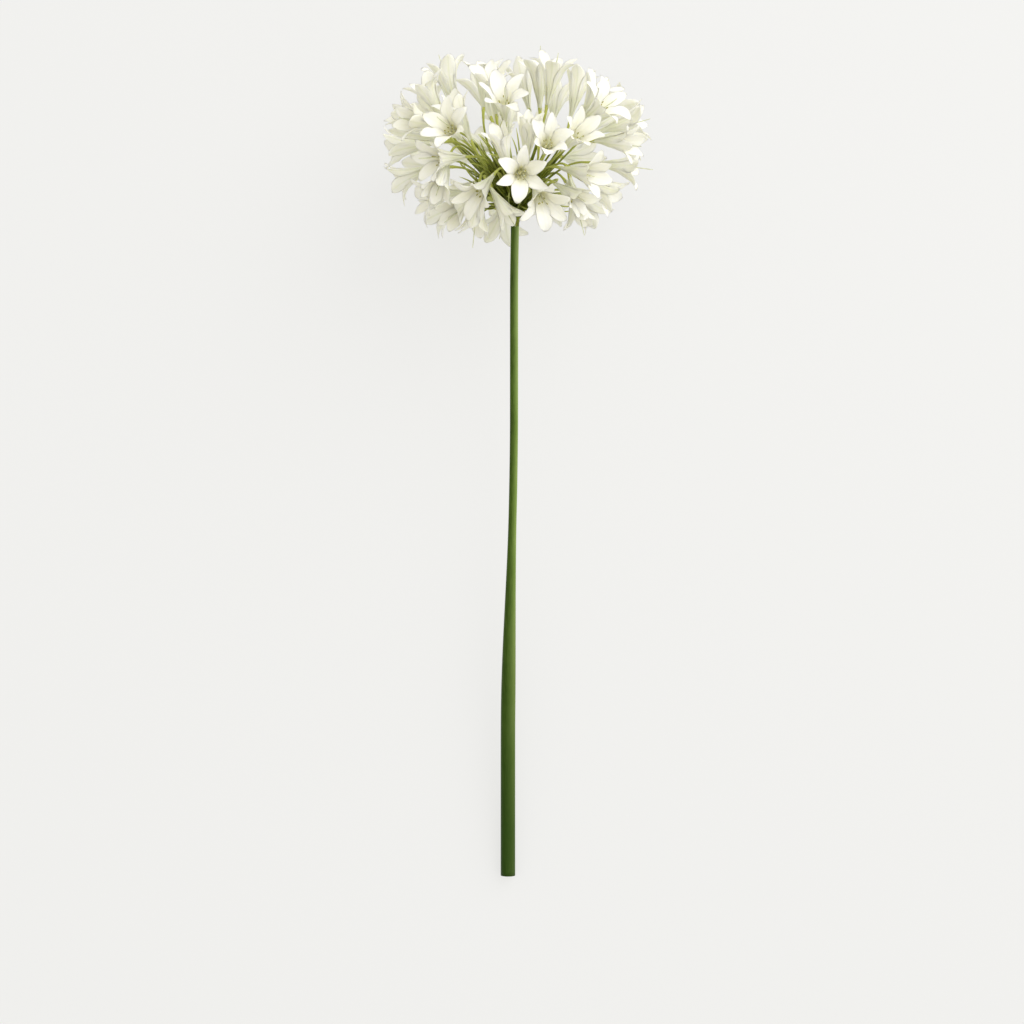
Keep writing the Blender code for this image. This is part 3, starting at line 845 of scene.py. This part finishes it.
# The stamens and styles. Six cream threads with olive pollen sacs stand in each floret's throat,
# with one longer greenish style among them. They sag towards the stem's foot and turn up at the end.
FILAMENT_RADII = (0.46 * MM, 0.36 * MM, 0.18 * MM)
STYLE_RADII = (0.4 * MM, 0.42 * MM, 0.3 * MM)
FILAMENT_POINTS = 9
FILAMENT_ROOT = 13 * MM  # how high in the tube, and how far from its middle, a thread starts
FILAMENT_ASIDE = 1.4 * MM
STAMENS = 6
ANTHER = (0.5 * MM, 0.5 * MM, 1.25 * MM)  # half its width, depth and length


def filament_points(flower, angle, length, spread, sag):
    """A thread from the tube's throat, leaning out by spread and sagging by sag."""
    out = flower.side * math.cos(angle) + flower.up * math.sin(angle)
    down = -ALONG + flower.facing * ALONG.dot(flower.facing)
    points = []
    for i in range(FILAMENT_POINTS):
        t = i / (FILAMENT_POINTS - 1)
        radius = (FILAMENT_ASIDE + spread * t) * flower.size
        ahead = (FILAMENT_ROOT + length * t) * flower.size
        droop = sag * t * t * (1.9 - 1.35 * t)
        point = flower.foot + out * radius + flower.facing * ahead + down * droop
        point.z = (point.z + math.hypot(point.z, 2 * PRESSED)) / 2 + ANTHER[0]
        points.append(point)
    return points


def anther_shaping():
    """A pollen sac set across the end of each thread."""
    tree = Shaping("anthers", {"Width": "Vector", "Material": "Material"})
    sac = tree.add("GeometryNodeMeshUVSphere", {"Segments": 10, "Rings": 7, "Radius": 1.0})
    ends = tree.add("GeometryNodeCurveEndpointSelection", {"Start Size": 0, "End Size": 1})
    last = tree.add("GeometryNodeStoreNamedAttribute",
                    {"Geometry": tree.inputs.outputs["Geometry"], "Name": "last",
                     "Value": ends.outputs[0]}, data_type="BOOLEAN")
    points = tree.add("GeometryNodeCurveToPoints", {"Curve": last.outputs[0]}, mode="EVALUATED")
    sacs = tree.add("GeometryNodeInstanceOnPoints",
                    {"Points": points.outputs["Points"], "Instance": sac.outputs["Mesh"],
                     "Selection": tree.attribute("last", "BOOLEAN"),
                     "Rotation": points.outputs["Rotation"],
                     "Scale": tree.inputs.outputs["Width"]})
    tree.finish(sacs.outputs[0])
    return tree


def plain_finish(name, dark, light, grain, roughness, subsurface):
    """One tissue in two shades, in grains this far across."""
    finish, tree, shader = new_finish(name, roughness, subsurface, 1 * MM, (1.0, 0.9, 0.6))
    patches = fibres(tree, stretched(tree, grain, grain), 2.6)
    tree.links.new(mixed(tree, patches, dark, light), shader.inputs["Base Color"])
    bump(tree, shader, patches, 0.15 * MM, 0.6)
    return finish


stamen_draw = random.Random(9)
stamen_lines, style_lines = [], []
for flower in florets:
    for i in range(STAMENS):
        angle = 2 * math.pi * (i + 0.5) / STAMENS + stamen_draw.uniform(-0.2, 0.2)
        stamen_lines.append(filament_points(
            flower, angle, stamen_draw.triangular(9, 19, 13) * MM,
            stamen_draw.uniform(1.0, 3.0) * MM, stamen_draw.uniform(1, 4) * MM))
    style_lines.append(filament_points(
        flower, stamen_draw.uniform(0, 6.3), stamen_draw.uniform(16, 42) * MM,
        0.5 * MM, stamen_draw.uniform(0, 4) * MM))
filament_white = plain_finish("filament_white", (0.82, 0.82, 0.60), (0.93, 0.92, 0.80), 2 * MM, 0.5,
                              0.2)
anther_olive = plain_finish("anther_olive", (0.26, 0.26, 0.05), (0.62, 0.57, 0.20), 0.7 * MM, 0.75,
                            0.0)
anthers = anther_shaping().shape(curve_piece("pollen_sacs", stamen_lines), width=ANTHER,
                                 material=anther_olive)
style_green = plain_finish("style_green", (0.50, 0.53, 0.33), (0.72, 0.73, 0.53), 4 * MM, 0.5, 0.2)
filaments = THREADS.shape(curve_piece("stamen_threads", stamen_lines), root=FILAMENT_RADII[0],
                          middle=FILAMENT_RADII[1], end=FILAMENT_RADII[2], stations=10, sides=5,
                          material=filament_white)
styles = THREADS.shape(curve_piece("styles", style_lines), root=STYLE_RADII[0],
                       middle=STYLE_RADII[1], end=STYLE_RADII[2], stations=10, sides=5,
                       material=style_green)
for piece in (anthers, filaments, styles):
    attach(piece, "root")


# The buds. A few flowers are still shut: a smooth club with six faint ribs, greenish white, with a
# green foot, standing inside the open florets. Low among the stalks are small green young ones, and
# each open floret holds a cream pistil of much the same form down in its throat.
BUD_PROFILE = [(0.0, 1.2), (1.5, 1.5), (5.0, 2.2), (10.0, 3.1), (14.5, 3.8), (18.0, 4.0),
               (21.0, 3.3), (23.2, 2.0), (24.5, 0.9), (25.0, 0.1)]  # (height, radius) in mm
PISTIL = [(0.0, 0.9), (4.0, 1.3), (8.0, 1.9), (11.0, 2.3), (13.5, 2.1), (15.0, 1.3),
          (16.0, 0.4)]  # (height, radius) in mm


def make_bud_blank(profile, rows, sides):
    points, along = [], []
    heights, radii = zip(*profile)
    for row in range(rows):
        height = heights[-1] * math.sin(0.5 * math.pi * row / (rows - 1))
        radius = np.interp(height, heights, radii)
        for i in range(sides):
            turn = 2 * math.pi * i / sides
            ribbed = radius * (1 + 0.05 * math.cos(LOBES * turn))
            points.append((ribbed * MM * math.cos(turn), ribbed * MM * math.sin(turn),
                           height * MM))
            along.append(height / heights[-1])
    faces = ring_faces(rows, sides) + end_caps(len(points), sides)
    return mesh_piece("bud_blank", points, faces, {"along": along})


def bud_shaping():
    """A bud at each point, turned to the point's facing and scaled to its size."""
    tree = Shaping("buds", {"Blank": "Object", "Material": "Material"})
    blank = tree.add("GeometryNodeObjectInfo", {"Object": tree.inputs.outputs["Blank"]})
    aim = tree.add("FunctionNodeAxesToRotation", {0: tree.attribute("facing", "FLOAT_VECTOR"),
                                                  1: tree.attribute("side", "FLOAT_VECTOR")},
                   primary_axis="Z", secondary_axis="X")
    copies = tree.add("GeometryNodeInstanceOnPoints",
                      {"Points": tree.inputs.outputs["Geometry"],
                       "Instance": blank.outputs["Geometry"], "Rotation": aim.outputs[0],
                       "Scale": tree.attribute("size")})
    tree.finish(copies.outputs[0])
    return tree


def bud_finish(name, dark, light):
    """The bud's own two shades, going green at its foot and at its tip."""
    finish, tree, shader = new_finish(name, 0.45, 0.3, 2 * MM, (1.0, 0.95, 0.62))
    along = shader_attribute(tree, "along")
    lines = fibres(tree, stretched(tree, 1.5 * MM, 1.5 * MM), 2.0)
    near_foot = (along * -2.2 + 1.0).limited()
    near_tip = (along * 6.0 - 5.2).limited() * 0.6
    colour = mixed(tree, lines, dark, light)
    colour = mixed(tree, near_foot, colour, (0.34, 0.37, 0.07))
    colour = mixed(tree, near_tip, colour, (0.56, 0.58, 0.22))
    tree.links.new(colour, shader.inputs["Base Color"])
    bump(tree, shader, lines, 0.15 * MM, 0.4)
    return finish


def add_buds(name, profile, feet, facings, sizes, finish, rows=30, sides=36):
    blank = make_bud_blank(profile, rows, sides)
    points = mesh_piece(name, feet, [], {"facing": [tuple(facing) for facing in facings],
                                         "side": [tuple(way.orthogonal()) for way in facings],
                                         "size": sizes})
    piece = BUD_SHAPING.shape(points, blank=blank, material=finish)
    bpy.data.objects.remove(blank)
    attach(piece, "root")
    return piece


BUD_SHAPING = bud_shaping()
closed = add_buds("closed_buds", BUD_PROFILE, [bud.foot for bud in buds],
                  [bud.facing for bud in buds], [bud.size for bud in buds],
                  bud_finish("bud_white", (0.84, 0.85, 0.66), (0.90, 0.90, 0.78)))
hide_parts(*[bud.node for bud in buds])
small = add_buds("young_buds", YOUNG_BUD, [foot for foot, _ in young],
                 [facing for _, facing in young], [1.0] * len(young),
                 bud_finish("young_bud_green", (0.26, 0.29, 0.05), (0.50, 0.52, 0.17)))
pistils = add_buds("pistils", PISTIL, [flower.foot + flower.facing * MM for flower in florets],
                   [flower.facing for flower in florets], [flower.size for flower in florets],
                   plain_finish("pistil_cream", (0.90, 0.88, 0.48), (0.96, 0.94, 0.64), 2 * MM,
                                0.5, 0.3), rows=8, sides=12)


# The surface, the light and the camera. A wide pale table that is lit from below too, so shadows on
# it stay weak, a big soft lamp up and to the right, and the eye over the head, looking down.
FLOOR_REACH = 40.0
EYE_DISTANCE = 2.6
EYE_SIDE = -2.4 * MM
EYE_DROP = -42 * MM
AIM_DROP = -242 * MM
METRES_A_PIXEL = 0.0008
PICTURE = 1024
SURFACE_COLOUR = (0.14, 0.1406, 0.1418, 1)
SURFACE_GLOW = (1.0, 0.9975, 0.979, 1)
GLOW_STRENGTH = 0.695
HEAD_MIDDLE = umbel_place(0, 30 * MM, 0)
LAMP_WAY = Vector((1.25, 1.05, 1.5))  # from the head's middle to the lamp
LAMP_WIDTH = 2.2
LAMP_POWER = 24
LAMP_COLOUR = (1.0, 0.99, 0.96)
WORLD_DIM = (0.37, 0.335, 0.195)
WORLD_BRIGHT = (1.0, 1.0, 1.0)
WORLD_STRENGTH = 1.16
BACKDROP = (0.90, 0.90, 0.892, 1)


def make_floor():
    corners = [(x * FLOOR_REACH, y * FLOOR_REACH, 0) for x, y in ((-1, -1), (1, -1), (1, 1), (-1, 1))]
    floor = mesh_piece("floor", corners, [(0, 1, 2, 3)])
    finish, _, shader = new_finish("pale_surface", 0.8)
    shader.inputs["Base Color"].default_value = SURFACE_COLOUR
    shader.inputs["Emission Color"].default_value = SURFACE_GLOW
    shader.inputs["Emission Strength"].default_value = GLOW_STRENGTH
    floor.data.materials.append(finish)


def add_lamp():
    lamp = bpy.data.lights.new("key", "AREA")
    lamp.shape = "DISK"
    lamp.size = LAMP_WIDTH
    lamp.energy = LAMP_POWER
    lamp.color = LAMP_COLOUR
    made = bpy.data.objects.new("key", lamp)
    bpy.context.scene.collection.objects.link(made)
    place = HEAD_MIDDLE + LAMP_WAY
    turned = (HEAD_MIDDLE - place).to_track_quat("-Z", "Y").to_matrix().to_4x4()
    made.matrix_world = Matrix.Translation(place) @ turned


def add_camera():
    camera = bpy.data.objects.new("Camera", bpy.data.cameras.new("Camera"))
    bpy.context.scene.collection.objects.link(camera)
    eye = umbel_place(EYE_SIDE, EYE_DROP, EYE_DISTANCE)
    back = (eye - umbel_place(EYE_SIDE, AIM_DROP, 0)).normalized()
    facing = Matrix((SIDEWAYS, back.cross(SIDEWAYS), back)).transposed()
    camera.matrix_world = Matrix.Translation(eye) @ facing.to_4x4()
    reach = Vector((EYE_DISTANCE, EYE_DROP - AIM_DROP)).length
    camera.data.angle = 2 * math.atan(PICTURE / 2 * METRES_A_PIXEL / reach)
    bpy.context.scene.camera = camera


def light_world():
    """Light from all round, bright from the lamp's side, warm and dim from the other; where the
    surface ends the eye sees a plain pale backdrop."""
    world = bpy.data.worlds.new("pale_room")
    world.use_nodes = True
    tree = world.node_tree
    way = tree.nodes.new("ShaderNodeTexCoord")
    towards = tree.nodes.new("ShaderNodeVectorMath")
    towards.operation = "DOT_PRODUCT"
    towards.inputs[1].default_value = LAMP_WAY.normalized()
    tree.links.new(way.outputs["Generated"], towards.inputs[0])
    share = (Field(towards.outputs["Value"]) * 0.5 + 0.5).limited()
    light = tree.nodes["Background"]
    tree.links.new(mixed(tree, share, WORLD_DIM, WORLD_BRIGHT), light.inputs["Color"])
    light.inputs["Strength"].default_value = WORLD_STRENGTH
    backdrop = tree.nodes.new("ShaderNodeBackground")
    backdrop.inputs["Color"].default_value = BACKDROP
    seen = tree.nodes.new("ShaderNodeLightPath")
    either = tree.nodes.new("ShaderNodeMixShader")
    tree.links.new(seen.outputs["Is Camera Ray"], either.inputs[0])
    tree.links.new(light.outputs[0], either.inputs[1])
    tree.links.new(backdrop.outputs[0], either.inputs[2])
    tree.links.new(either.outputs[0], tree.nodes["World Output"].inputs["Surface"])
    bpy.context.scene.world = world


make_floor()
light_world()
add_lamp()
add_camera()
bpy.context.scene.view_settings.view_transform = "Standard"
